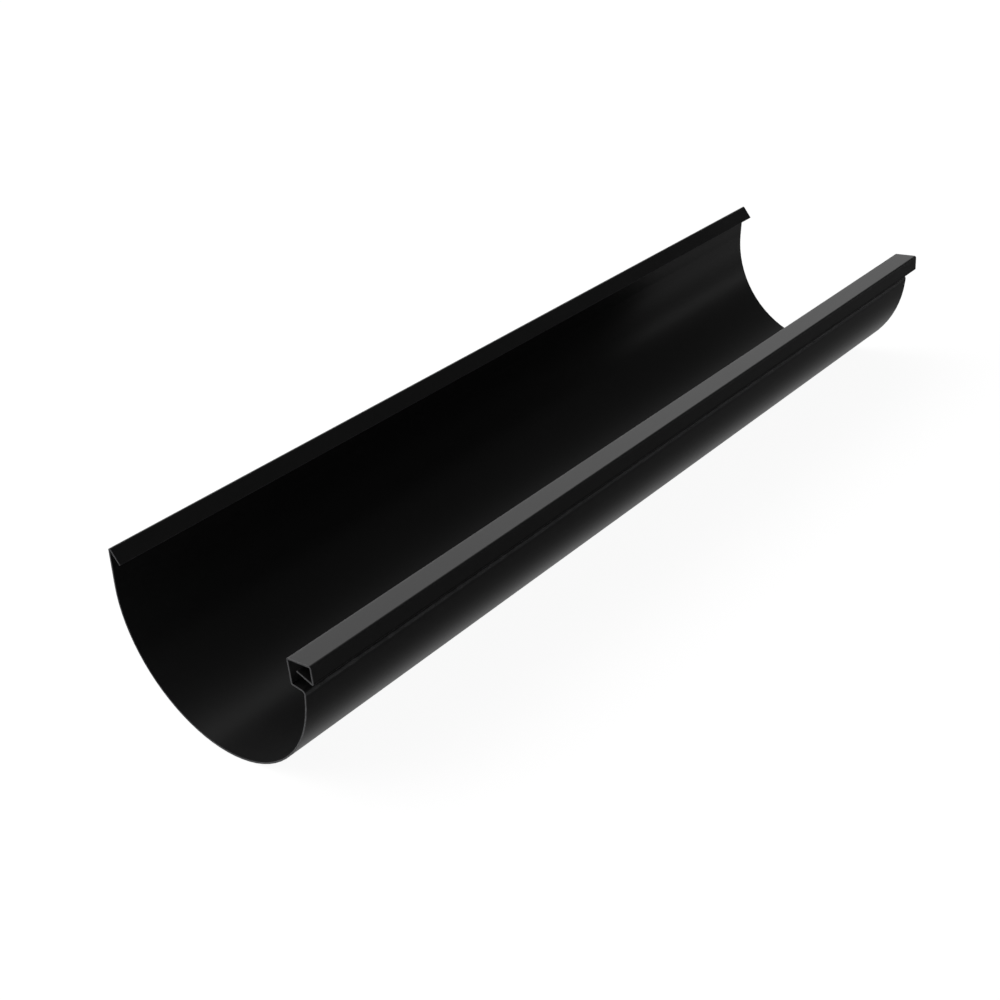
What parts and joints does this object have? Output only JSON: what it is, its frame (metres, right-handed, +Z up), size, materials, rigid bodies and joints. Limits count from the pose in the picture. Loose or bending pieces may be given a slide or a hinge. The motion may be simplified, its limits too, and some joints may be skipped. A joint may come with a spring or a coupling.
{
  "type": "half-round gutter section",
  "caption": "Half-round roof gutter section in black coated sheet metal, with a folded box bead along its front and an inward lip along its back rim.",
  "frame": {"origin": "middle of the footprint, on the floor under the gutter as it lies unheld", "axes": "+X along the gutter, -Y towards the front bead, +Z up; the section is rolled 12.5 degrees towards the bead from the level that it hangs at"},
  "size_m": [0.552, 0.1358, 0.0987],
  "materials": {
    "coated_sheet": "satin black coating"
  },
  "bodies": {
    "root": {"half_round_gutter": "coated_sheet"}
  },
  "joints": []
}
